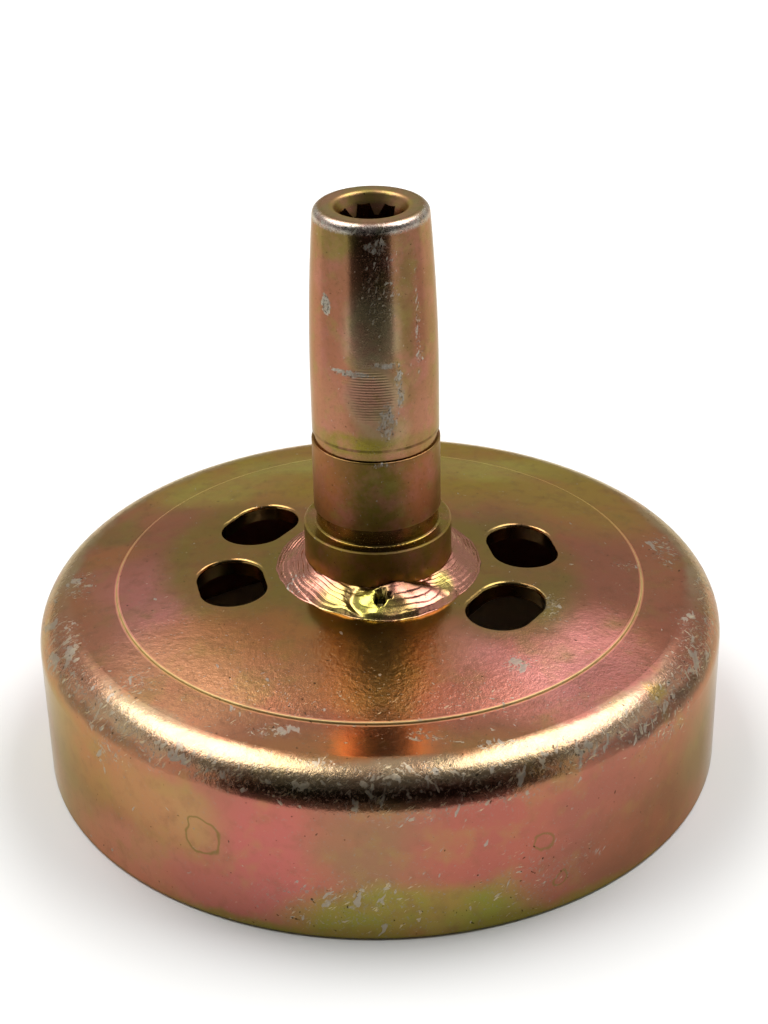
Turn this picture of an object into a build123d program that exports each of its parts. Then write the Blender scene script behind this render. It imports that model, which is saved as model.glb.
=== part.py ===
import os
from math import cos, radians, sin, sqrt, tan

from build123d import *

os.makedirs("parts", exist_ok=True)

# Drum cup: pressed sheet steel, open end down, rim on z = 0
drum_bore_d = 78.0  # friction bore that the clutch shoes rub on
sheet = 2.0  # thickness of the pressed sheet
drum_h = 23.6  # rim to the flat centre of the outer face
crown_r = 105.0  # crown of the outer face, from the flat centre to the edge of the disc
corner_r = 5.0  # outer corner between the face and the wall
disc_d = 63.1  # edge of the raised centre disc
disc_step = 0.25  # height of that edge
disc_edge_r = 0.24  # rounding of that edge
edge_slope = 6.3  # fall of the face between the disc and the corner, degrees
rim_break = 0.3  # broken edges of the rim

# Plier slots: two pairs, on opposite sides of the hub
slot_l = 10.4
slot_w = 7.8
slot_circle_d = 35.7
slot_half_angle = 23.35  # from the middle of a pair to each of its slots
slot_edge_r = 0.4  # rolled upper edge left by the punch

# Hub: turned from one bar, standing on the face of the drum
bearing_d = 15.0  # bore of the ball bearing that carries the drum
bearing_w = 11.0  # width of that bearing
circlip_gap = 0.05  # end float between the bearing and its circlip
circlip_w = 1.1  # circlip groove
circlip_root_d = 14.3
collar_d = 17.5  # collar whose upper face stops the bearing
collar_h = 6.3
collar_break = 0.15  # broken upper edge of the collar
relief_d = 14.45  # turned relief at the foot of the bearing seat
relief_w = 2.2
relief_foot_r = 0.25  # rounding where the relief meets the collar
seat_edge_r = 0.2  # rounded edge between the seat and the groove
nose_d = 14.8  # shaft above the circlip groove
nose_straight = 6.0  # length of the nose that stays parallel
nose_taper = 21.15  # length over which it draws in to its end
nose_end_d = 12.95
nose_end_r = 0.95  # worn round edge of that end
spigot_d = 14.0  # end that passes through the face of the drum
spigot_proud = 0.6  # how far it shows inside the drum
spigot_break = 0.3
spigot_gap = 0.05  # radial clearance in the hole of the drum

# Splined socket for the drive shaft
spline_teeth = 7
spline_major_d = 7.0
spline_minor_d = 5.8
spline_groove_w = 1.4  # width of a groove at the major diameter
spline_flank = 24.0  # slope of a groove's side, degrees
spline_l = 26.0
spline_turn = 12.4  # turn of the first groove from the middle of a slot pair
spline_relief_d = 7.6  # drilled bore behind the spline
mouth_d = 8.5  # turned lead-in at the end of the nose
mouth_half_angle = 30.0
mouth_lip_r = 0.65  # rounded lip of the mouth

# Weld that joins the hub to the drum
weld_leg = 3.5  # along the face of the drum
weld_rise = 1.9  # up the collar
weld_crown = 0.3  # how far the bead bulges from a straight fillet
weld_land = 1.25  # flat face left outside the bead
weld_end_angle = -66.0  # middle of the mound where the bead overlaps its start
weld_end_l = 12.4  # length of that mound along the bead
weld_end_w = 6.8  # width across the bead
weld_end_out = 0.95  # how far its middle lies outside the collar
weld_end_sunk = 0.3  # depth of its middle below the face of the drum
weld_pit_r = 0.6  # crater left where the arc went out
weld_pit_along = -2.1  # place of the crater along the mound
weld_pit_tilt = 60.0  # height of the crater up the mound, degrees

# Worked out from the sizes above
bore_r = drum_bore_d / 2
drum_r = bore_r + sheet
disc_r = disc_d / 2
collar_r = collar_d / 2
spigot_r = spigot_d / 2
weld_toe_r = collar_r + weld_leg
flat_r = weld_toe_r + weld_land
shoulder_z = drum_h + collar_h
relief_z = shoulder_z + relief_w
groove_z = shoulder_z + bearing_w + circlip_gap
nose_z = groove_z + circlip_w
taper_z = nose_z + nose_straight
hub_top = taper_z + nose_taper
spigot_z = drum_h - sheet - spigot_proud
same_size = 0.0001  # two sizes closer than this are the same


def crown_z(r):
    return drum_h - crown_r + sqrt(crown_r**2 - (r - flat_r) ** 2)


def inner_crown_z(r):
    return drum_h - crown_r + sqrt((crown_r - sheet) ** 2 - (r - flat_r) ** 2)


def edge_z(r):
    return crown_z(disc_r) - disc_step - (r - disc_r) * tan(radians(edge_slope))


def inner_edge_z(r):
    return edge_z(r) - sheet / cos(radians(edge_slope))


def nose_r(z):
    draw_in = (nose_d - nose_end_d) / 2
    sweep_r = (nose_taper**2 + draw_in**2) / (2 * draw_in)
    return nose_d / 2 - sweep_r + sqrt(sweep_r**2 - (z - taper_z) ** 2)


def groove_half_w(r):
    return spline_groove_w / 2 + (spline_major_d / 2 - r) * tan(radians(spline_flank))


def top_ring(solid, r):
    rings = solid.edges().filter_by(GeomType.CIRCLE)
    return rings.filter_by(lambda ring: abs(ring.radius - r) < same_size).sort_by(Axis.Z)[-1]


# Drum cup
with BuildPart() as drum:
    hole_r = spigot_r + spigot_gap
    with BuildSketch(Plane.XZ):
        with BuildLine():
            Line((hole_r, drum_h), (flat_r, drum_h))
            disc_mid_r = (flat_r + disc_r) / 2
            ThreePointArc((flat_r, drum_h), (disc_mid_r, crown_z(disc_mid_r)), (disc_r, crown_z(disc_r)))
            Polyline(
                (disc_r, crown_z(disc_r)),
                (disc_r, edge_z(disc_r)),
                (drum_r, edge_z(drum_r)),
                (drum_r, 0),
                (bore_r, 0),
                (bore_r, inner_edge_z(bore_r)),
                (disc_r, inner_edge_z(disc_r)),
                (disc_r, inner_crown_z(disc_r)),
            )
            ThreePointArc(
                (disc_r, inner_crown_z(disc_r)),
                (disc_mid_r, inner_crown_z(disc_mid_r)),
                (flat_r, drum_h - sheet),
            )
            Polyline((flat_r, drum_h - sheet), (hole_r, drum_h - sheet), (hole_r, drum_h))
        make_face()
    revolve(axis=Axis.Z)

    # Rounded corner of the pressing, inside and outside, and edge of the centre disc
    fillet(top_ring(drum, bore_r), max(corner_r - sheet, sheet / 4))
    fillet(top_ring(drum, drum_r), corner_r)
    fillet(top_ring(drum, disc_r), disc_edge_r)

    # Broken edges of the rim
    chamfer(drum.faces().sort_by(Axis.Z)[0].edges(), rim_break)

    # Plier slots, with rolled upper edges
    with BuildSketch(Plane.XY.offset(drum_h)):
        for side in (-1, 1):
            with PolarLocations(slot_circle_d / 2, 2, start_angle=side * slot_half_angle):
                SlotOverall(slot_l, slot_w, rotation=90)
    extrude(amount=-drum_h / 2, mode=Mode.SUBTRACT)
    slot_edges = drum.edges(Select.LAST).filter_by(Axis.Z, reverse=True)
    upper_edges = slot_edges.filter_by_position(Axis.Z, drum_h - sheet, drum_h)
    fillet(upper_edges, slot_edge_r)

drum.part.label = "drum_cup"

# Hub with its bearing seat, nose and splined socket
with BuildPart() as hub:
    with BuildSketch(Plane.XZ):
        with BuildLine():
            Polyline(
                (0, hub_top),
                (0, spigot_z),
                (spigot_r, spigot_z),
                (spigot_r, drum_h),
                (collar_r, drum_h),
                (collar_r, shoulder_z),
                (relief_d / 2, shoulder_z),
                (relief_d / 2, relief_z),
                (bearing_d / 2, relief_z),
                (bearing_d / 2, groove_z),
                (circlip_root_d / 2, groove_z),
                (circlip_root_d / 2, nose_z),
                (nose_d / 2, nose_z),
                (nose_d / 2, taper_z),
            )
            sweep_mid_z = (taper_z + hub_top) / 2
            ThreePointArc(
                (nose_d / 2, taper_z),
                (nose_r(sweep_mid_z), sweep_mid_z),
                (nose_end_d / 2, hub_top),
            )
            Line((nose_end_d / 2, hub_top), (0, hub_top))
        make_face()
    revolve(axis=Axis.Z)

    # Worn end of the nose, rounded foot of the relief, broken edges of the collar, the seat and the spigot
    fillet(top_ring(hub, nose_end_d / 2), nose_end_r)
    relief_rings = hub.edges().filter_by(GeomType.CIRCLE).filter_by_position(Axis.Z, shoulder_z, shoulder_z)
    fillet(relief_rings.sort_by(SortBy.RADIUS)[0], relief_foot_r)
    chamfer(top_ring(hub, collar_r), collar_break)
    fillet(top_ring(hub, bearing_d / 2), seat_edge_r)
    chamfer(hub.faces().sort_by(Axis.Z)[0].edges(), spigot_break)

    # Splined socket, with a conical lead-in and a relief behind
    with BuildSketch(Plane.XY.offset(hub_top)):
        with PolarLocations(0, spline_teeth, start_angle=spline_turn):
            Polygon(
                (0, -groove_half_w(0)),
                (spline_major_d / 2, -spline_groove_w / 2),
                (spline_major_d / 2, spline_groove_w / 2),
                (0, groove_half_w(0)),
                align=None,
            )
        Circle(spline_minor_d / 2)
    extrude(amount=-spline_l, mode=Mode.SUBTRACT)
    with Locations((0, 0, hub_top - spline_l)):
        Cylinder(
            spline_relief_d / 2,
            hub_top - spline_l - spigot_z,
            align=(Align.CENTER, Align.CENTER, Align.MAX),
            mode=Mode.SUBTRACT,
        )
    with Locations((0, 0, hub_top)):
        Cone(
            spline_minor_d / 2,
            mouth_d / 2,
            (mouth_d - spline_minor_d) / 2 / tan(radians(mouth_half_angle)),
            align=(Align.CENTER, Align.CENTER, Align.MAX),
            mode=Mode.SUBTRACT,
        )
    fillet(top_ring(hub, mouth_d / 2), mouth_lip_r)

hub.part.label = "splined_hub"

# Weld bead round the foot of the collar, with the mound and crater at its end
with BuildPart() as weld:
    with BuildSketch(Plane.XZ):
        with BuildLine():
            foot = Vector(weld_toe_r, drum_h)
            top = Vector(collar_r, drum_h + weld_rise)
            bulge = Vector(weld_rise, weld_leg).normalized() * weld_crown
            Polyline(top, (collar_r, drum_h), foot)
            ThreePointArc(foot, (foot + top) * 0.5 + bulge, top)
        make_face()
    revolve(axis=Axis.Z)

    # Mound: an oval lying along the bead, cut off by the collar and the face of the drum
    mound_out = collar_r + weld_end_out
    mound_z = drum_h - weld_end_sunk
    outward = Vector(1, 0, 0).rotate(Axis.Z, weld_end_angle)
    mound_plane = Plane(origin=outward * mound_out + Vector(0, 0, mound_z), x_dir=outward, z_dir=(0, 0, 1))
    with BuildSketch(mound_plane):
        with BuildLine():
            EllipticalCenterArc((0, 0), weld_end_w / 2, weld_end_l / 2, start_angle=-90, arc_size=180)
            Line((0, weld_end_l / 2), (0, -weld_end_l / 2))
        make_face()
    revolve(axis=Axis(mound_plane.origin, mound_plane.y_dir))
    with Locations((0, 0, drum_h)):
        Cylinder(collar_r, 2 * weld_end_l, mode=Mode.SUBTRACT)
        Cylinder(
            mound_out + weld_end_l,
            2 * weld_end_l,
            align=(Align.CENTER, Align.CENTER, Align.MAX),
            mode=Mode.SUBTRACT,
        )

    # Crater on the mound
    pit_reach = weld_end_w / 2 * sqrt(1 - (2 * weld_pit_along / weld_end_l) ** 2)
    pit_local = (
        pit_reach * cos(radians(weld_pit_tilt)),
        weld_pit_along,
        pit_reach * sin(radians(weld_pit_tilt)),
    )
    with Locations(mound_plane.from_local_coords(Vector(pit_local))):
        Sphere(weld_pit_r, mode=Mode.SUBTRACT)

weld.part.label = "weld_bead"

export_step(drum.part, "parts/drum_cup.step")
export_step(hub.part, "parts/splined_hub.step")
export_step(weld.part, "parts/weld_bead.step")
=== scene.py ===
import math
import bpy
from mathutils import Matrix, Vector, noise


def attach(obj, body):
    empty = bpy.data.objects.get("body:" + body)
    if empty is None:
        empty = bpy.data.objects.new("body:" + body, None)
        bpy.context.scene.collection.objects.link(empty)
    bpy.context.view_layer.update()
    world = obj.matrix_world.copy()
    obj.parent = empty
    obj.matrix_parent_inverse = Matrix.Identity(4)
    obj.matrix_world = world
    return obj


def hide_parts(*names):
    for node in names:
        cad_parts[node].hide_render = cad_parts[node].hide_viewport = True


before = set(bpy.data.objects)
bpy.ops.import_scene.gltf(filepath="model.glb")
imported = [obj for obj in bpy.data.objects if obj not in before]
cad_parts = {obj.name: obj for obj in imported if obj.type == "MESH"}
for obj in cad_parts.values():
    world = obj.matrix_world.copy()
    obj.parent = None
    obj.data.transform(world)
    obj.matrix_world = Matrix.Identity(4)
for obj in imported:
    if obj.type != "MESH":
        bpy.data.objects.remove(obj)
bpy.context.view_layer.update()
bpy.ops.object.select_all(action="DESELECT")
bpy.context.scene.view_settings.view_transform = "Standard"
mm = 0.001


# hex colours are sRGB, shader sockets want linear
def linearColour(hexText):
    parts = [int(hexText[i:i + 2], 16) / 255 for i in (1, 3, 5)]
    linear = [p / 12.92 if p <= 0.04045 else ((p + 0.055) / 1.055) ** 2.4 for p in parts]
    return (*linear, 1.0)


# adds a node, sets what is given by name and links or fills its inputs
def addNode(tree, kind, inputs=None, **settings):
    made = tree.nodes.new("ShaderNode" + kind)
    for name, value in settings.items():
        setattr(made, name, value)
    for socket, value in (inputs or {}).items():
        if isinstance(value, bpy.types.NodeSocket):
            tree.links.new(value, made.inputs[socket])
        else:
            made.inputs[socket].default_value = value
    return made


# camera: where the picture was taken from, round the drum's axis
photoView = {
    "turn": 11.6,  # degrees from -Y towards +X
    "away": 219.716,  # mm from the axis
    "height": 152.312,  # mm above the rim
    "pitch": 29.001,  # degrees down
    "yaw": 0.175,
    "roll": -1.254,
    "focalPixels": 2117.75,
    "longSide": 1024,  # pixels
}
cameraTurn = math.radians(photoView["turn"])


def makeCamera(view, turn):
    pitch, yaw, roll = (math.radians(view[k]) for k in ("pitch", "yaw", "roll"))
    ahead = Vector((0, math.cos(pitch), -math.sin(pitch)))
    right = Vector((1, 0, 0))
    above = Vector((0, math.sin(pitch), math.cos(pitch)))
    ahead, right = (ahead * math.cos(yaw) + right * math.sin(yaw),
                    right * math.cos(yaw) - ahead * math.sin(yaw))
    right, above = (right * math.cos(roll) + above * math.sin(roll),
                    above * math.cos(roll) - right * math.sin(roll))
    axes = Matrix((right, above, -ahead)).transposed().to_4x4()
    place = Matrix.Translation((0, -view["away"] * mm, view["height"] * mm))
    data = bpy.data.cameras.new("photoCamera")
    data.sensor_width = 36
    data.lens = view["focalPixels"] * data.sensor_width / view["longSide"]
    data.clip_start = 0.01
    camera = bpy.data.objects.new("photoCamera", data)
    camera.matrix_world = Matrix.Rotation(turn, 4, "Z") @ place @ axes
    bpy.context.scene.collection.objects.link(camera)
    bpy.context.scene.camera = camera


makeCamera(photoView, cameraTurn)
print("camera placed")


# stage: pale floor, soft panels overhead, grey room that is dark behind the camera
studio = {
    "floorRadius": 20.0,  # m
    "floorColour": "#F0F0EE",
    "panelHeight": 1.0,  # m
    "panels": (  # one each side: aside and behind the drum, size across and along, all in m, radiance
        (0.56, 0.235, 0.72, 0.77, 5.3),
        (0.50, 0.86, 0.52, 0.48, 1.1),
    ),
    "cards": (  # out of the picture: middle across and away, half length, foot and top in mm, turn, colour
        (-12, -106, 86, 26, 80, 0, "#080808"),
        (-12, -106, 86, 0, 26, 0, "#5A5A56"),
        (-114, -38, 66, 0, 80, 90, "#F0F0EC"),
        (114, -38, 66, 0, 80, 90, "#E8E8E4"),
    ),
    "roomLevels": (  # share towards the camera, level
        (-0.3, 0.55), (0.0, 0.40), (0.2, 0.25), (0.45, 0.10), (0.7, 0.07),
    ),
}


# matt paper: takes the light evenly and gives no glint
def makePaper(name, colour):
    paper = bpy.data.materials.new(name)
    paper.use_nodes = True
    shader = paper.node_tree.nodes["Principled BSDF"]
    shader.inputs["Base Color"].default_value = linearColour(colour)
    shader.inputs["Roughness"].default_value = 0.9
    shader.inputs["Specular IOR Level"].default_value = 0.0
    return paper


def makeFloor(look):
    bpy.ops.mesh.primitive_circle_add(vertices=96, radius=look["floorRadius"], fill_type="NGON")
    floor = bpy.context.object
    floor.name = "paleFloor"
    floor.data.materials.append(makePaper("matt pale paper", look["floorColour"]))


def makeCards(look, turn):
    for across, away, half, foot, top, angle, colour in look["cards"]:
        bpy.ops.mesh.primitive_plane_add(size=2)
        card = bpy.context.object
        card.name = "sideCard"
        size = Matrix.Diagonal((half * mm, (top - foot) / 2 * mm, 1, 1))
        stand = Matrix.Rotation(math.radians(angle), 4, "Z") @ Matrix.Rotation(math.radians(90), 4, "X")
        place = Matrix.Translation((across * mm, away * mm, (top + foot) / 2 * mm))
        card.data.transform(Matrix.Rotation(turn, 4, "Z") @ place @ stand @ size)
        card.visible_camera = card.visible_shadow = card.visible_diffuse = False  # seen in the metal alone
        card.data.materials.append(makePaper("matt card", colour))


def hangPanels(look, turn):
    for aside, behind, across, along, radiance in look["panels"]:
        for side in (-1, 1):
            data = bpy.data.lights.new("softPanel", "AREA")
            data.shape = "RECTANGLE"
            data.size = across
            data.size_y = along
            data.energy = radiance * across * along * math.pi  # watts for that radiance
            panel = bpy.data.objects.new("softPanel", data)
            place = Matrix.Translation((side * aside, behind, look["panelHeight"]))
            panel.matrix_world = Matrix.Rotation(turn, 4, "Z") @ place
            panel.visible_camera = False
            bpy.context.scene.collection.objects.link(panel)


def shadeRoom(look, turn):
    world = bpy.data.worlds.new("greyRoom")
    world.use_nodes = True
    bpy.context.scene.world = world
    tree = world.node_tree
    tree.nodes.clear()
    where = addNode(tree, "TexCoord").outputs["Generated"]
    towards = (math.sin(turn), -math.cos(turn), 0)
    share = addNode(tree, "VectorMath", {0: where, 1: towards}, operation="DOT_PRODUCT").outputs["Value"]
    place = addNode(tree, "MapRange", {"Value": share, "From Min": -1, "From Max": 1}).outputs["Result"]
    ramp = addNode(tree, "ValToRGB", {"Fac": place})
    stops = ramp.color_ramp.elements
    while len(stops) < len(look["roomLevels"]):
        stops.new(1.0)
    for stop, (at, level) in zip(stops, look["roomLevels"]):
        stop.position = (at + 1) / 2
        stop.color = (level, level, level, 1)
    glow = addNode(tree, "Background", {"Color": ramp.outputs["Color"]})
    addNode(tree, "OutputWorld", {"Surface": glow.outputs["Background"]})


makeFloor(studio)
makeCards(studio, cameraTurn)
hangPanels(studio, cameraTurn)
shadeRoom(studio, cameraTurn)
print("stage lit")


# weld: bead run round the foot of the collar, rippled, with the mound and crater where it stopped
weldBead = {  # in mm, and in degrees from the camera's side
    "collar": 8.75,  # radius it is run against
    "face": 23.6,  # height of the drum's face
    "leg": 3.5,
    "rise": 1.9,
    "crown": 0.3,
    "uneven": 0.14,  # height that comes and goes along it
    "edge": 0.12,  # share of the width that thins out to the toe
    "toe": {"wander": 0.2, "ragged": 0.05, "swell": 1.25, "at": 9, "wide": 27},  # swells before the mound
    "ripple": {"step": 20.0, "lag": 130, "depth": 0.2, "wander": 0.5, "crest": 0.86},  # toe ahead by the lag
    "mound": {"at": 12.4, "out": 9.5, "high": 2.9, "reach": 3.7, "stretch": 2.0, "blunt": 0.9, "peak": 1.4},
    "moundBlend": 0.2,
    "moundLumps": 0.12,
    "rings": {"step": 0.55, "depth": 0.09, "wander": 0.7},  # on the mound
    "valley": {"at": -18.0, "bend": 9, "wide": 4.5, "deep": 0.4},  # left of the mound
    "hollow": {"from": -12, "to": 42, "share": 0.2, "deep": 0.25},  # between the mound and the collar
    "crater": {"at": 0.5, "out": 10.95, "wide": 0.74, "deep": 1.4, "squeeze": 1.0},
    "crack": {"at": 6.0, "out": 10.95, "wide": 0.26, "deep": 0.5, "squeeze": 0.6},  # short, beside it
    "across": 56,  # points over the bead
    "round": 720,  # points along it
    "touch": 0.001,  # counts as lying against
    "merge": 0.004,  # points closer than this are one
}


def smoothStep(low, high, value):
    t = min(max((value - low) / (high - low), 0.0), 1.0)
    return t * t * (3 - 2 * t)


def unevenness(*place):
    return noise.noise(Vector(place))


# radius and height of the bead, at a share of its width from the collar to the toe
def weldHeight(look, az, share):
    toe, mound, ripple, rings = look["toe"], look["mound"], look["ripple"], look["rings"]
    wobble = toe["wander"] * unevenness(az / 9, 3.1, 0) + toe["ragged"] * unevenness(az / 2.4, 8.2, 0)
    swell = toe["swell"] * math.exp(-((az - toe["at"]) / toe["wide"]) ** 2)
    out = look["collar"] + (look["leg"] + wobble + swell) * share
    plain = look["rise"] * (1 - share) + look["crown"] * 4 * share * (1 - share)
    plain += look["uneven"] * unevenness(az / 13, share * 2, 7.0)

    # mound, blended into the bead
    angle = math.radians(az - mound["at"])
    along = out * math.sin(angle)
    ahead = out * math.cos(angle) - mound["out"]
    far = math.hypot(along / mound["stretch"], ahead, mound["blunt"])
    left = 1 - (far - mound["blunt"]) / mound["reach"]
    raised = mound["high"] * left ** mound["peak"] if left > 0 else left
    blend = look["moundBlend"]
    top = math.log(math.exp(plain / blend) + math.exp(raised / blend)) * blend
    onMound = smoothStep(-blend, blend, raised - plain)

    # ripples that trail from the collar to the toe, none in the valley
    wander = ripple["wander"] * unevenness(az / 14, share * 3, 1.7)
    part = ((az - ripple["lag"] * share) / ripple["step"] + wander) % 1
    crest = ripple["crest"]
    saw = part ** 1.6 - 0.45 if part < crest else (1 - part) / (1 - crest) * 0.34
    hush = smoothStep(0.0, 0.08, share) * (1 - smoothStep(0.88, 1.0, share))
    fade = 0.7 + 0.6 * unevenness(az / 19, share * 2, 5.0)
    valley = look["valley"]
    bend = valley["at"] + valley["bend"] * smoothStep(0.5, 1.0, share)
    near = math.exp(-((az - bend) / valley["wide"]) ** 2)
    top += ripple["depth"] * saw * hush * fade * (1 - onMound) * (1 - near)

    # rings on the mound, stronger on its right
    part = (far / rings["step"] + rings["wander"] * wander) % 1
    side = smoothStep(-0.5, 2.5, along)
    top += rings["depth"] * (part ** 1.5 - 0.4) * hush * onMound * (0.3 + 0.7 * side)
    top += look["moundLumps"] * onMound * unevenness(along * 0.6, ahead * 0.8, 2.0)

    # valley and hollow beside the mound
    top -= valley["deep"] * near * smoothStep(0.02, 0.25, share) * (1 - smoothStep(0.88, 1.0, share))
    hollow = look["hollow"]
    window = smoothStep(hollow["from"] - 5, hollow["from"] + 5, az)
    window *= 1 - smoothStep(hollow["to"] - 8, hollow["to"] + 5, az)
    dip = 1 - smoothStep(0.04, hollow["share"], share + 0.08 * unevenness(az / 5, 6.0, 9.0))
    top -= hollow["deep"] * window * dip * (0.8 + 0.6 * unevenness(az / 4, share * 5, 9.0))

    for dent in (look["crater"], look["crack"]):
        aside = math.radians(az - dent["at"]) * out
        away = math.hypot(aside * dent["squeeze"], (out - dent["out"]) * 0.8)
        away += 0.15 * unevenness(aside * 2.5, out * 2.5, 4.0)
        top -= dent["deep"] * (1 - smoothStep(dent["wide"] * 0.45, dent["wide"] * 1.25, away))
    top *= smoothStep(0.0, look["edge"], 1 - share)
    return out, max(top, 0.0)


def makeWeld(look, turn):
    points = []
    for k in range(look["across"]):
        share = k / (look["across"] - 1)
        points.append((look["collar"] + look["leg"] * share, look["face"] + look["rise"] * (1 - share)))
    points.append((look["collar"], look["face"]))
    bpy.ops.mesh.primitive_circle_add(vertices=len(points), radius=1, fill_type="NOTHING")
    bead = bpy.context.object
    bead.name = "rippledWeld"
    for vertex, (out, height) in zip(bead.data.vertices, points):
        vertex.co = (out * mm, 0, height * mm)
    bpy.ops.object.mode_set(mode="EDIT")
    bpy.ops.mesh.select_all(action="SELECT")
    bpy.ops.mesh.spin(steps=look["round"], angle=2 * math.pi, center=(0, 0, 0), axis=(0, 0, 1))
    bpy.ops.mesh.select_all(action="SELECT")
    bpy.ops.mesh.remove_doubles(threshold=look["merge"] * mm)
    bpy.ops.mesh.normals_make_consistent(inside=False)
    bpy.ops.object.mode_set(mode="OBJECT")
    for vertex in bead.data.vertices:
        x, y, z = (c / mm for c in vertex.co)
        out = math.hypot(x, y)
        if z < look["face"] + look["touch"] and out < look["collar"] + look["touch"]:
            continue  # foot against the collar
        angle = math.atan2(y, x)
        az = math.degrees(angle - turn) + 90
        az = (az + 180) % 360 - 180  # from the camera's side
        share = min(max((out - look["collar"]) / look["leg"], 0.0), 1.0)
        out, top = weldHeight(look, az, share)
        vertex.co = (out * math.cos(angle) * mm, out * math.sin(angle) * mm, (look["face"] + top) * mm)
    bead.data.update()
    bpy.ops.object.shade_smooth()
    bpy.ops.object.select_all(action="DESELECT")
    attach(bead, "root")
    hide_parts("weld_bead")
    return bead


weld = makeWeld(weldBead, cameraTurn)
print("weld run", len(weld.data.polygons), "faces")


# a place on a round, by degrees from the camera's side
def onRound(out, az, height):
    return (out * math.sin(math.radians(az)), -out * math.cos(math.radians(az)), height)


# how far inside a soft oval each point lies, 0 to strength
def ovalMask(tree, place, centre, size, soft, strength):
    off = addNode(tree, "VectorMath", {0: place, 1: centre}, operation="SUBTRACT").outputs["Vector"]
    share = addNode(tree, "VectorMath", {0: off, 1: size}, operation="DIVIDE").outputs["Vector"]
    far = addNode(tree, "VectorMath", {0: share}, operation="LENGTH").outputs["Value"]
    ends = {"Value": far, "From Min": 1 + soft, "From Max": 1 - soft, "To Min": 0.0, "To Max": strength}
    return addNode(tree, "MapRange", ends, interpolation_type="SMOOTHSTEP").outputs["Result"]


# many ovals gathered into one mask
def gatherOvals(tree, spaces, ovals, start, operation):
    total = start
    for space, centre, size, soft, strength in ovals:
        mask = ovalMask(tree, spaces[space], centre, size, soft, strength)
        total = addNode(tree, "Math", {0: total, 1: mask}, operation=operation).outputs["Value"]
    return total


# yellow zinc passivate over steel: a bright metal whose thin film shows gold, olive, rose and green,
# cloudy by the drying of the bath, dull grey where rubbing took the film away
passivate = {
    "glance": "#EADFC9",  # film still shows at a glancing angle
    "cloudNoise": {"Detail": 3.0, "Roughness": 0.62},
    "bareRough": 0.25,  # duller where the film is gone
    "pitColour": "#2A2014",
    "pitStrength": 0.8,
    "pitEdge": 0.05,
    "pitRub": 0.07,  # more of them where rubbed
}


# places in mm, seen from the camera's side: "fixed" as they are, "spot" wandering with the film, "stroke"
# bent by it, "line" and "ring" by radius and height of the first two
def filmSpaces(tree, look, turn):
    where = addNode(tree, "TexCoord").outputs["Object"]
    turned = {"Vector": where, "Rotation": (0, 0, -turn), "Scale": (1 / mm,) * 3}
    place = addNode(tree, "Mapping", turned).outputs["Vector"]
    ends = {"Vector": place, "Scale": 1 / look["cloudSize"], **passivate["cloudNoise"]}
    cloud = addNode(tree, "TexNoise", ends)
    drift = addNode(tree, "VectorMath", {0: cloud.outputs["Color"], 1: (0.5,) * 3}, operation="SUBTRACT")
    spaces = {"fixed": place}
    for name, reach in (("spot", look["cloudDrift"]), ("stroke", look["strokeBend"])):
        ends = {0: drift.outputs["Vector"], 1: (reach,) * 3, 2: place}
        spaces[name] = addNode(tree, "VectorMath", ends, operation="MULTIPLY_ADD").outputs["Vector"]
    for name, points in (("ring", spaces["spot"]), ("line", place)):
        parts = addNode(tree, "SeparateXYZ", {"Vector": points})
        ends = {"X": parts.outputs["X"], "Y": parts.outputs["Y"]}
        flat = addNode(tree, "CombineXYZ", ends).outputs["Vector"]
        out = addNode(tree, "VectorMath", {0: flat}, operation="LENGTH").outputs["Value"]
        spaces[name] = addNode(tree, "CombineXYZ", {"X": out, "Z": parts.outputs["Z"]}).outputs["Vector"]
    return spaces


# the film as it came from the bath, with painted shade in the groove and in the weld's hollow, crater and
# crack: masks and their colours, from the bottom up
def filmAndPaintedShadeLayers(tree, look, spaces):
    layers = []
    for space, centre, size, soft, tint, strength in look["filmsAndPaintedShade"]:
        layers.append((ovalMask(tree, spaces[space], centre, size, soft, strength), tint))
    for size, low, high, tint, strength in look["clouds"]:  # shift between a redder and a greener film
        ends = {"Vector": spaces["fixed"], "Scale": 1 / size, **passivate["cloudNoise"]}
        veil = addNode(tree, "TexNoise", ends)
        ends = {"Value": veil.outputs["Fac"], "From Min": low, "From Max": high, "To Max": strength}
        layers.append((addNode(tree, "MapRange", ends).outputs["Result"], tint))
    for space, centre, size, band, tint, strength in look["tides"]:  # marks of dried drops
        outer = ovalMask(tree, spaces[space], centre, size, band, strength)
        inner = ovalMask(tree, spaces[space], centre, [s * (1 - 2 * band) for s in size], band, strength)
        mark = addNode(tree, "Math", {0: outer, 1: inner}, operation="SUBTRACT", use_clamp=True)
        layers.append((mark.outputs["Value"], tint))
    return layers


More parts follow.
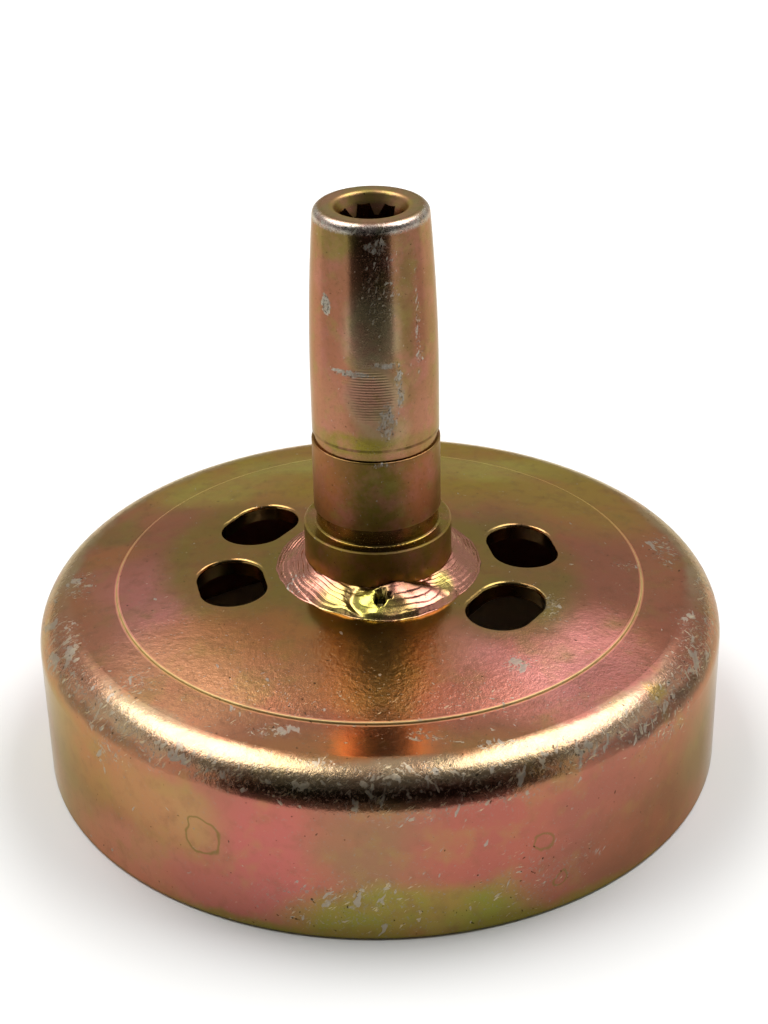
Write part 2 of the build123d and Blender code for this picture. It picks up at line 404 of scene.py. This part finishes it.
# short strokes that took the film off, thick where it was rubbed most, and fine dark pits
def wearLayers(tree, look, spaces):
    layers = []
    bare = 0.0
    rubbed = gatherOvals(tree, spaces, look["rubs"], 0.0, "MAXIMUM")
    for tilt, wide, length, start, edge, show, tint in look["strokes"]:
        lying = {"Vector": spaces["stroke"], "Rotation": [math.radians(a) for a in tilt],
                 "Scale": (wide, length, length)}
        place = addNode(tree, "Mapping", lying, vector_type="TEXTURE").outputs["Vector"]
        stroke = addNode(tree, "TexNoise", {"Vector": place, "Scale": 1.0, "Detail": 2.0, "Roughness": 0.6})
        ends = {0: rubbed, 1: look["strokeGain"], 2: stroke.outputs["Fac"]}
        worn = addNode(tree, "Math", ends, operation="MULTIPLY_ADD").outputs["Value"]
        ends = {"Value": worn, "From Min": start, "From Max": start + edge, "To Max": show}
        mask = addNode(tree, "MapRange", ends).outputs["Result"]
        bare = addNode(tree, "Math", {0: bare, 1: mask}, operation="MAXIMUM").outputs["Value"]
        layers.append((mask, tint))
    pit = addNode(tree, "TexNoise", {"Vector": spaces["fixed"], "Scale": 1 / look["pitSize"], "Detail": 1.0})
    ends = {0: rubbed, 1: passivate["pitRub"], 2: pit.outputs["Fac"]}
    pitted = addNode(tree, "Math", ends, operation="MULTIPLY_ADD").outputs["Value"]
    ends = {"Value": pitted, "From Min": look["pitFrom"], "From Max": look["pitFrom"] + passivate["pitEdge"],
            "To Max": passivate["pitStrength"]}
    layers.append((addNode(tree, "MapRange", ends).outputs["Result"], passivate["pitColour"]))
    return layers, bare


# fine grain of the plating, and the turning lines where there are any
def plateGrain(tree, look, spaces, grainy):
    grain = addNode(tree, "TexNoise", {"Vector": spaces["fixed"], "Scale": 1 / look["grainSize"],
                                       "Detail": 4.0, "Roughness": 0.72}).outputs["Fac"]
    bump = addNode(tree, "Bump", {"Height": grain, "Strength": grainy, "Distance": look["grainDepth"] * mm})
    lines = look["turning"]
    if lines:
        height = addNode(tree, "SeparateXYZ", {"Vector": spaces["fixed"]}).outputs["Z"]
        turns = {0: height, 1: 2 * math.pi / lines["pitch"]}
        wave = addNode(tree, "Math", turns, operation="MULTIPLY").outputs["Value"]
        wave = addNode(tree, "Math", {0: wave}, operation="SINE").outputs["Value"]
        mask = ovalMask(tree, spaces["spot"], *lines["patch"])
        bump = addNode(tree, "Bump", {"Height": wave, "Strength": mask, "Distance": lines["depth"] * mm,
                                      "Normal": bump.outputs["Normal"]})
    return bump.outputs["Normal"]


def makePassivate(look, turn):
    made = bpy.data.materials.new(look["name"])
    made.use_nodes = True
    tree = made.node_tree
    shader = tree.nodes["Principled BSDF"]
    shader.inputs["Metallic"].default_value = 1.0
    shader.inputs["Specular Tint"].default_value = linearColour(passivate["glance"])
    spaces = filmSpaces(tree, look, turn)

    wear, bare = wearLayers(tree, look, spaces)
    colour = linearColour(look["film"])
    for mask, tint in filmAndPaintedShadeLayers(tree, look, spaces) + wear:
        ends = {0: mask, 6: colour, 7: linearColour(tint)}
        colour = addNode(tree, "Mix", ends, data_type="RGBA").outputs[2]
    tree.links.new(colour, shader.inputs["Base Color"])

    # duller where rubbed, grainier in the rough zones
    grainy = gatherOvals(tree, spaces, look["grains"], look["grainAll"], "MAXIMUM")
    ends = {0: grainy, 1: look["grainRough"], 2: look["roughness"]}
    rough = addNode(tree, "Math", ends, operation="MULTIPLY_ADD").outputs["Value"]
    rough = gatherOvals(tree, spaces, look["dulls"], rough, "ADD")
    ends = {0: bare, 1: passivate["bareRough"], 2: rough}
    rough = addNode(tree, "Math", ends, operation="MULTIPLY_ADD").outputs["Value"]
    tree.links.new(rough, shader.inputs["Roughness"])
    tree.links.new(plateGrain(tree, look, spaces, grainy), shader.inputs["Normal"])
    return made


drumFinish = {
    "name": "yellow zinc passivate on pressed steel",
    "film": "#A56B57",
    "cloudSize": 6.5,  # mm
    "cloudDrift": 4.0,  # mm
    "filmsAndPaintedShade": (  # space, centre, size, softness, colour, strength; sizes in mm
        ("ring", (34, 0, 21), (2.6, 1, 4), 0.25, "#B0775A", 0.7),  # face outside the disc
        ("spot", (0, 44, 22), (42, 30, 12), 0.22, "#AC9440", 0.95),  # olive at the back
        ("spot", (-20, 22, 22), (8, 5, 9), 0.5, "#B8AC5A", 0.7),
        ("spot", (-8, 28, 22), (11, 3.5, 9), 0.5, "#B8AC5A", 0.9),
        ("spot", (14, 26, 22), (11, 4, 9), 0.5, "#B8AC5A", 0.85),
        ("spot", (27, 18, 22), (10, 10, 9), 0.5, "#AC8E48", 0.8),
        ("spot", (-33, 12, 21), (4, 3.5, 6), 0.5, "#857646", 0.7),
        ("spot", (-32, 6, 21), (3.5, 3, 6), 0.5, "#B47A50", 0.6),
        ("spot", (-27, -9, 22), (11, 11, 6), 0.5, "#CE8880", 0.8),
        ("spot", (-14, -15, 22), (10, 8, 6), 0.5, "#AE7A48", 0.9),
        ("spot", (0, -20, 22), (14, 9, 6), 0.5, "#B6804C", 0.9),
        ("spot", (0, -21, 22), (5, 10, 6), 0.5, "#CFA65C", 0.8),
        ("spot", (-12, -24, 22), (10, 5, 6), 0.5, "#B8805A", 0.7),
        ("spot", (19, -20, 22), (11, 9, 6), 0.5, "#E6968E", 0.85),
        ("spot", (10, -27, 22), (7, 4, 6), 0.5, "#C47A66", 0.7),
        ("spot", (-17, 2, 23), (9, 14, 6), 0.25, "#8C7840", 0.9),  # olive round the slots
        ("spot", (15, -3, 23), (9, 14, 6), 0.25, "#887544", 0.9),
        ("ring", (9, 0, 23.6), (6, 1, 6), 0.25, "#8E7A42", 0.8),
        ("spot", (-25, -24, 21), (13, 12, 6), 0.4, "#BE8862", 0.7),
        ("spot", (26, -26, 21), (8, 8, 3), 0.5, "#94605A", 0.7),
        ("spot", (0, -36, 21), (22, 4, 3.5), 0.4, "#BC8456", 0.75),
        ("spot", (-3, -35, 21), (3, 3, 4), 0.5, "#D0884E", 0.7),
        ("ring", (41, 0, 8), (3.5, 1, 9.5), 0.08, "#A06654", 1.0),  # wall
        ("spot", onRound(41, -78, 9), (12, 12, 14), 0.4, "#967612", 0.95),
        ("spot", onRound(41, -62, 10), (8, 8, 9), 0.5, "#9C8559", 0.85),
        ("spot", onRound(41, -50, 13), (9, 9, 5), 0.5, "#A77C50", 0.9),
        ("spot", onRound(41, -36, 12), (8, 8, 5), 0.5, "#AC8458", 0.9),
        ("spot", onRound(41, -42, 3), (13, 13, 4.5), 0.4, "#BC7F66", 0.9),
        ("spot", onRound(41, -17, 11), (6, 6, 7), 0.4, "#B2645C", 0.95),
        ("spot", onRound(41, -24, 4), (8, 8, 4), 0.5, "#AE665C", 0.8),
        ("spot", onRound(41, -3, 12), (6, 6, 6), 0.5, "#8F6C50", 0.85),
        ("spot", onRound(41, 16, 12), (8, 8, 6), 0.4, "#A45E52", 0.9),
        ("spot", onRound(41, 34, 11), (8, 8, 6), 0.5, "#985E50", 0.8),
        ("spot", onRound(41, 45, 5), (9, 9, 6), 0.5, "#8C604A", 0.8),
        ("spot", onRound(41, 62, 9), (5, 5, 5), 0.5, "#917654", 0.8),
        ("spot", onRound(41, 76, 9), (9, 9, 12), 0.4, "#7E5C12", 0.9),
        ("spot", onRound(41, 4, 2), (13, 13, 5), 0.3, "#868639", 0.95),  # olive along the foot
        ("spot", onRound(41, 8, 0), (24, 24, 1.8), 0.4, "#847A36", 0.9),
        ("spot", onRound(41, -20, 0), (12, 12, 1.2), 0.4, "#857A3A", 0.7),
        ("ring", (38.6, 0, 20.4), (1.8, 1, 1.8), 0.4, "#AEA080", 0.7),  # corner, worn paler
        ("spot", onRound(39.5, -72, 19.8), (10, 10, 3), 0.5, "#B0785E", 0.85),
        ("spot", onRound(39.5, 70, 19.8), (10, 10, 3), 0.5, "#A86C5A", 0.85),
        ("spot", onRound(40.6, 56, 18.4), (12, 12, 1.0), 0.5, "#46443A", 0.85),  # darker band low on the corner, each side
        ("spot", onRound(40.6, -55, 18.4), (12, 12, 0.8), 0.5, "#6A5C48", 0.6),
        ("spot", onRound(38.6, 52, 20.2), (1.3, 1.3, 1.4), 0.5, "#A0A040", 0.65),
        ("line", (31.5, 0, 21.95), (0.13, 1, 0.3), 0.4, "#CBB47A", 0.85),  # edge of the disc
    ),
    "clouds": (  # size, from, to, colour, strength
        (10.0, 0.45, 0.72, "#B66A54", 0.45),
        (5.5, 0.52, 0.74, "#978A4A", 0.4),
        (1.8, 0.5, 0.75, "#7E5A44", 0.35),
    ),
    "tides": (  # space, centre, size, band, colour, strength
        ("spot", onRound(41, -29, 10.6), (2.2, 2.2, 2.6), 0.06, "#6E6234", 0.7),
        ("line", (41, 0, 0.0), (6, 1, 0.5), 0.2, "#6E6A30", 0.5),
        ("spot", onRound(41, 24.5, 10), (1.3, 1.3, 1.2), 0.1, "#6E6236", 0.6),
        ("spot", onRound(41, 28, 4.5), (1.1, 1.1, 1.0), 0.12, "#6E6A36", 0.6),
    ),
    "rubs": (  # space, centre, size, softness, strength; so are grains and dulls
        ("ring", (39.7, 0, 19.6), (2.0, 1, 2.0), 0.6, 0.85),  # corner
        ("spot", (-36, 0, 21), (2.0, 3.5, 3), 0.5, 0.95),
        ("spot", (-36.5, -13, 20), (2.5, 4.5, 3), 0.5, 1.0),
        ("spot", (-27, -22, 21), (2.5, 3, 3), 0.6, 0.8),
        ("spot", (-11.5, -31.5, 21), (3, 1.5, 3), 0.6, 0.9),
        ("spot", (-7, -36.5, 20), (2, 1, 3), 0.5, 1.0),
        ("spot", (15, -21.5, 22), (1.8, 1.3, 3), 0.5, 1.05),
        ("spot", (12, -34.8, 21), (3.2, 0.9, 3), 0.5, 1.1),
        ("spot", (5, -33.5, 21), (2.5, 1.2, 3), 0.6, 0.9),
        ("spot", (20, -10, 22), (1.3, 3.5, 3), 0.5, 1.1),
        ("spot", (35, 5, 21), (1.5, 4, 3), 0.6, 0.95),
        ("spot", (30, 0, 21), (1.5, 1.5, 3), 0.6, 0.8),
        ("spot", (36, -14, 20), (2, 6, 3), 0.5, 0.9),
        ("spot", onRound(41, -10, 5), (4, 4, 3), 0.6, 0.55),
        ("spot", onRound(41, -48, 16), (4, 4, 2), 0.6, 0.7),
        ("spot", onRound(41, 10, 17), (12, 12, 1.2), 0.6, 0.6),
        ("spot", onRound(41, 52, 16.5), (6, 6, 1.8), 0.6, 0.8),
        ("spot", onRound(41, -6, 5), (9, 9, 3.5), 0.7, 0.65),
        ("spot", onRound(41, 22, 5), (7, 7, 4), 0.7, 0.5),
        ("spot", (0, -29, 22), (24, 5, 4), 0.6, 0.3),
    ),
    "strokeBend": 2.2,  # mm
    # tilt in degrees, width and length in mm, start, edge, strength, colour; drawn wide enough to show
    "strokes": (
        ((40, 25, 15), 1.0, 2.6, 0.72, 0.05, 0.8, "#A0978A"),
        ((-30, 35, 80), 0.55, 1.5, 0.73, 0.05, 0.8, "#A89C88"),
        ((20, -40, 130), 0.24, 1.3, 0.72, 0.09, 0.55, "#CDBE9C"),
        ((0, 0, 0), 0.36, 0.36, 0.62, 0.25, 0.8, "#8A8478"),
    ),
    "strokeGain": 0.15,
    "pitSize": 0.5,  # mm
    "pitFrom": 0.75,
    "roughness": 0.15,
    "grainAll": 0.1,
    "grains": (
        ("ring", (39.5, 0, 19.6), (2.6, 1, 2.6), 0.5, 1.0),
        ("spot", (0, -23, 22), (22, 9, 4), 0.4, 1.0),
        ("spot", (19, -17, 22), (12, 11, 4), 0.5, 1.0),
        ("spot", (-20, -17, 22), (11, 11, 4), 0.5, 1.0),
    ),
    "grainRough": 0.04,
    "grainSize": 0.8,  # mm
    "grainDepth": 0.05,  # mm
    "dulls": (
        ("line", (31.5, 0, 21.95), (0.3, 1, 0.35), 0.3, 0.35),  # edge of the disc
    ),
    "turning": None,
}

hubFinish = {
    "name": "yellow zinc passivate on turned steel",
    "film": "#9A6C50",
    "cloudSize": 2.6,
    "cloudDrift": 1.3,
    "filmsAndPaintedShade": (
        ("ring", (7.5, 0, 36.5), (1.2, 1, 4.9), 0.06, "#86643A", 1.0),  # bearing seat
        ("ring", (8.2, 0, 28.0), (2.2, 1, 4.3), 0.04, "#8C7538", 1.0),  # relief and collar
        ("spot", onRound(7.4, -45, 55), (4, 4, 9), 0.5, "#A26B52", 0.9),
        ("spot", onRound(7.4, -50, 47), (3.5, 3.5, 4), 0.5, "#A8745A", 0.8),
        ("spot", onRound(7, -40, 67.5), (3, 3, 2.6), 0.4, "#867440", 0.9),
        ("spot", onRound(7.3, 30, 58), (1.6, 1.6, 11), 0.5, "#826842", 0.8),
        ("spot", onRound(7.3, 50, 58), (1.7, 1.7, 7), 0.5, "#9E6650", 0.9),
        ("spot", onRound(7.3, 52, 46), (2, 2, 3), 0.5, "#A27058", 0.8),
        ("spot", onRound(7.3, 72, 56), (2.5, 2.5, 12), 0.5, "#8C6C48", 0.8),
        ("spot", onRound(7.3, -2, 57), (3.0, 3.0, 5), 0.4, "#A89A78", 0.85),
        ("spot", onRound(7.4, 0, 49), (3.2, 3.2, 3.4), 0.3, "#B29A78", 0.8),
        ("spot", onRound(7.4, 8, 45), (2.6, 2.6, 2.5), 0.5, "#A08C68", 0.8),
        ("line", (7.4, 0, 42.6), (0.8, 1, 1.2), 0.5, "#80743A", 0.45),  # tide above the groove
        ("spot", onRound(7.4, -25, 43), (4.5, 4.5, 1.3), 0.4, "#84782E", 0.9),
        # painted shade: a dark line in the groove
        ("line", (7.4, 0, 42.35), (0.8, 1, 0.16), 0.3, "#3A2E12", 0.75),
        ("spot", onRound(7.5, -60, 37), (3.2, 3.2, 4.5), 0.5, "#A87048", 0.85),
        ("spot", onRound(7.5, 46, 37), (2.2, 2.2, 4.5), 0.5, "#A66C4A", 0.9),
        ("spot", onRound(7.5, 0, 37), (2.6, 2.6, 5), 0.5, "#746C2C", 0.85),
        ("line", (5.6, 0, 69.2), (2.0, 1, 0.5), 0.3, "#92835A", 0.95),  # end face
        ("line", (4.1, 0, 68.6), (0.7, 1, 1.0), 0.3, "#A08A4C", 0.9),  # lip
        ("line", (2.5, 0, 60), (1.5, 1, 8.4), 0.1, "#6E5630", 0.9),  # socket
        ("line", (6.45, 0, 68.75), (0.55, 1, 0.6), 0.5, "#CAC6BC", 0.95),  # worn edge of the end
    ),
    "clouds": (
        (3.2, 0.46, 0.66, "#B27468", 0.5),
        (2.2, 0.52, 0.7, "#8E8248", 0.5),
        (0.5, 0.5, 0.8, "#6A5038", 0.4),
    ),
    "tides": (),
    "rubs": (
        ("line", (6.45, 0, 68.7), (0.6, 1, 0.8), 0.6, 0.9),
        ("spot", onRound(6.9, 5, 66.8), (1.3, 1.3, 0.9), 0.4, 1.5),
        ("spot", onRound(7.1, -47, 59.5), (0.75, 0.75, 1.2), 0.3, 2.2),
        ("spot", onRound(7.4, 10, 46), (1.0, 1.0, 2.2), 0.5, 1.6),
        ("spot", onRound(7.4, -22, 51.8), (2.6, 2.6, 0.4), 0.6, 1.8),
        ("spot", onRound(7.4, 10, 52.9), (1.8, 1.8, 0.35), 0.6, 1.6),
        ("spot", onRound(7.4, 22, 50), (0.5, 0.5, 3.2), 0.5, 1.4),
        ("spot", onRound(7.3, 43, 60), (0.45, 0.45, 8), 0.6, 0.95),
        ("spot", onRound(7.4, 45, 53.2), (0.8, 0.8, 0.8), 0.5, 1.1),
        ("spot", onRound(7.2, 6, 63), (2.2, 2.2, 5.5), 0.6, 0.7),
        ("spot", onRound(7.5, 6, 40.6), (1.2, 1.2, 0.35), 0.6, 1.2),
    ),
    "strokeBend": 0.8,
    "strokes": (
        ((12, 8, 10), 0.35, 0.8, 0.72, 0.08, 0.85, "#BAB4A8"),
        ((75, 20, 35), 0.26, 0.6, 0.73, 0.05, 0.85, "#BDB7AA"),
        ((0, 0, 0), 0.2, 0.2, 0.64, 0.2, 0.7, "#8C867A"),
    ),
    "strokeGain": 0.15,
    "pitSize": 0.28,
    "pitFrom": 0.73,
    "roughness": 0.2,
    "grainAll": 0.4,
    "grains": (
        ("line", (6.4, 0, 68.7), (0.8, 1, 0.9), 0.5, 1.0),
        ("line", (7.5, 0, 36.4), (0.4, 1, 4.7), 0.05, 0.9),
    ),
    "grainRough": 0.05,
    "grainSize": 0.4,
    "grainDepth": 0.02,
    "dulls": (
        ("line", (8.7, 0, 26.7), (0.8, 1, 3.3), 0.05, 0.2),  # collar
        ("line", (7.5, 0, 36.4), (0.4, 1, 4.7), 0.05, 0.14),  # seat
        ("line", (4.6, 0, 68.6), (1.0, 1, 1.2), 0.3, 0.12),  # lip
        ("spot", onRound(7.4, 0, 48), (4.2, 4.2, 5), 0.3, 0.1),  # turned patch
    ),
    "turning": {  # lines left by the tool, drawn coarse enough to show
        "pitch": 0.33,  # mm
        "depth": 0.009,  # mm
        "patch": (onRound(7.4, -6, 49.3), (3.0, 3.0, 3.0), 0.25, 1.0),  # centre, size, softness, strength
    },
}

weldFinish = dict(
    hubFinish,
    name="yellow zinc passivate on a weld bead",
    film="#B07A68",
    cloudSize=2.2,
    cloudDrift=1.2,
    filmsAndPaintedShade=(
        ("spot", onRound(11, -22, 25), (3.2, 2.2, 3), 0.5, "#B8A85C", 0.8),
        ("spot", onRound(11.5, -5, 25), (2.2, 2.0, 3), 0.5, "#C0BC58", 0.9),
        ("spot", onRound(12.5, 10, 24.5), (2.0, 1.6, 3), 0.5, "#BDA858", 0.7),
        ("spot", onRound(10.5, 45, 25), (1.2, 2.0, 3), 0.5, "#A8A050", 0.8),
        ("spot", onRound(11, 26, 25), (3, 2, 3), 0.5, "#C08070", 0.8),
        # painted shade in the hollow between the mound and the collar
        ("spot", onRound(9.2, 16, 26.2), (4.6, 1.1, 1.6), 0.5, "#3E3118", 0.85),
        # painted shade in the crater and in the short crack beside it
        ("fixed", onRound(10.95, 0.5, 24.8), (0.68, 0.68, 1.6), 0.35, "#171109", 0.95),  # crater
        ("fixed", onRound(10.95, 6.0, 25.0), (0.5, 0.22, 0.9), 0.4, "#20170B", 0.9),
    ),
    clouds=(
        (2.5, 0.5, 0.75, "#B06E64", 0.5),
        (1.4, 0.55, 0.8, "#8C7C44", 0.5),
        (0.6, 0.55, 0.8, "#6A5038", 0.3),
    ),
    rubs=(("spot", onRound(12, -60, 24.4), (2, 2, 2), 0.5, 0.8),),
    pitSize=0.4,
    roughness=0.23,
    grainAll=0.35,
    grains=(),
    dulls=(),
    turning=None,
)

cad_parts["drum_cup"].data.materials[0] = makePassivate(drumFinish, cameraTurn)
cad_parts["splined_hub"].data.materials[0] = makePassivate(hubFinish, cameraTurn)
weld.data.materials.append(makePassivate(weldFinish, cameraTurn))
print("finishes made")
